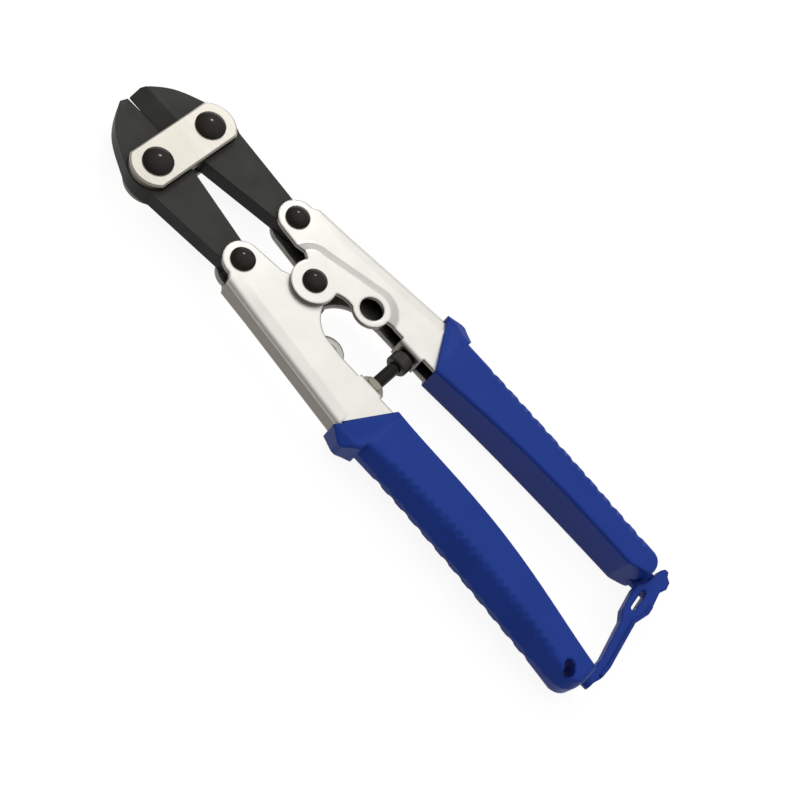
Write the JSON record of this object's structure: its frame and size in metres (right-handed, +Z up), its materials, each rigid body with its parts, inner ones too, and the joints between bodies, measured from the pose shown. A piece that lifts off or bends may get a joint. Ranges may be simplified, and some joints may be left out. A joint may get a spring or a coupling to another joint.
{
  "type": "bolt cutters",
  "caption": "Compact compound bolt cutters: bevelled jaws on link plates, folded steel handles with a stop screw, plastic grips and a strap that locks them shut.",
  "frame": {"origin": "under the middle of the bounding box, on the surface the tool lies on", "axes": "+X from the jaws to the grips, +Y to the upper handle, +Z up, square to the plane the handles move in"},
  "size_m": [0.2126, 0.0584, 0.0164],
  "materials": {
    "jaw_steel": "satin charcoal, hardened and blackened steel",
    "black_steel": "glossy black",
    "plate_steel": "satin, slightly warm grey",
    "handle_steel": "satin nickel plate",
    "zinc_steel": "bright zinc plate",
    "grip_plastic": "royal blue, fine moulded grain"
  },
  "bodies": {
    "lower_handle": {"lower_handle": "handle_steel", "lower_grip": "grip_plastic", "lower_tail_rivet": "black_steel", "centre_rivet": "black_steel", "centre_spacer": "zinc_steel", "stop_lock_nut": "zinc_steel", "strap_pin": "zinc_steel"},
    "upper_handle": {"upper_handle": "handle_steel", "upper_grip": "grip_plastic", "upper_tail_rivet": "black_steel"},
    "lower_jaw": {"lower_jaw": "jaw_steel"},
    "upper_jaw": {"upper_jaw": "jaw_steel"},
    "links": {"top_link_plate": "plate_steel", "bottom_link_plate": "plate_steel", "upper_jaw_rivet": "black_steel", "lower_jaw_rivet": "black_steel"},
    "lock_strap": {"lock_strap": "grip_plastic"},
    "stop_screw": {"stop_screw": "black_steel"}
  },
  "joints": [
    {"name": "handle_open", "type": "hinge", "parent": "lower_handle", "child": "upper_handle", "pos_m": [-0.0299, 0.0006, 0.0082], "axis": [0, 0, 1], "range_deg": [0, 26]},
    {"name": "lower_jaw_turn", "type": "hinge", "parent": "lower_handle", "child": "lower_jaw", "pos_m": [-0.0477, -0.0109, 0.0082], "axis": [0, 0, 1], "range_deg": [0, 19.75]},
    {"name": "upper_jaw_turn", "type": "hinge", "parent": "upper_handle", "child": "upper_jaw", "pos_m": [-0.0477, 0.0121, 0.0082], "axis": [0, 0, 1], "range_deg": [-19.75, 0]},
    {"name": "links_turn", "type": "hinge", "parent": "lower_jaw", "child": "links", "pos_m": [-0.0843, -0.0099, 0.0082], "axis": [0, 0, 1], "range_deg": [-6.75, 0]},
    {"name": "strap_lift", "type": "hinge", "parent": "lower_handle", "child": "lock_strap", "pos_m": [0.1029, -0.0202, 0.0083], "axis": [1, 0, 0], "range_deg": [0, 117.5]},
    {"name": "stop_adjust", "type": "slide", "parent": "lower_handle", "child": "stop_screw", "axis": [0, 1, 0], "range_m": [-0.002, 0]}
  ],
  "couplings": [
    {"joint": "lower_jaw_turn", "follows": "handle_open", "ratio": 0.759},
    {"joint": "upper_jaw_turn", "follows": "handle_open", "ratio": -0.759},
    {"joint": "links_turn", "follows": "handle_open", "ratio": -0.259},
    {"joint": "strap_lift", "follows": "handle_open", "ratio": 4.5}
  ]
}
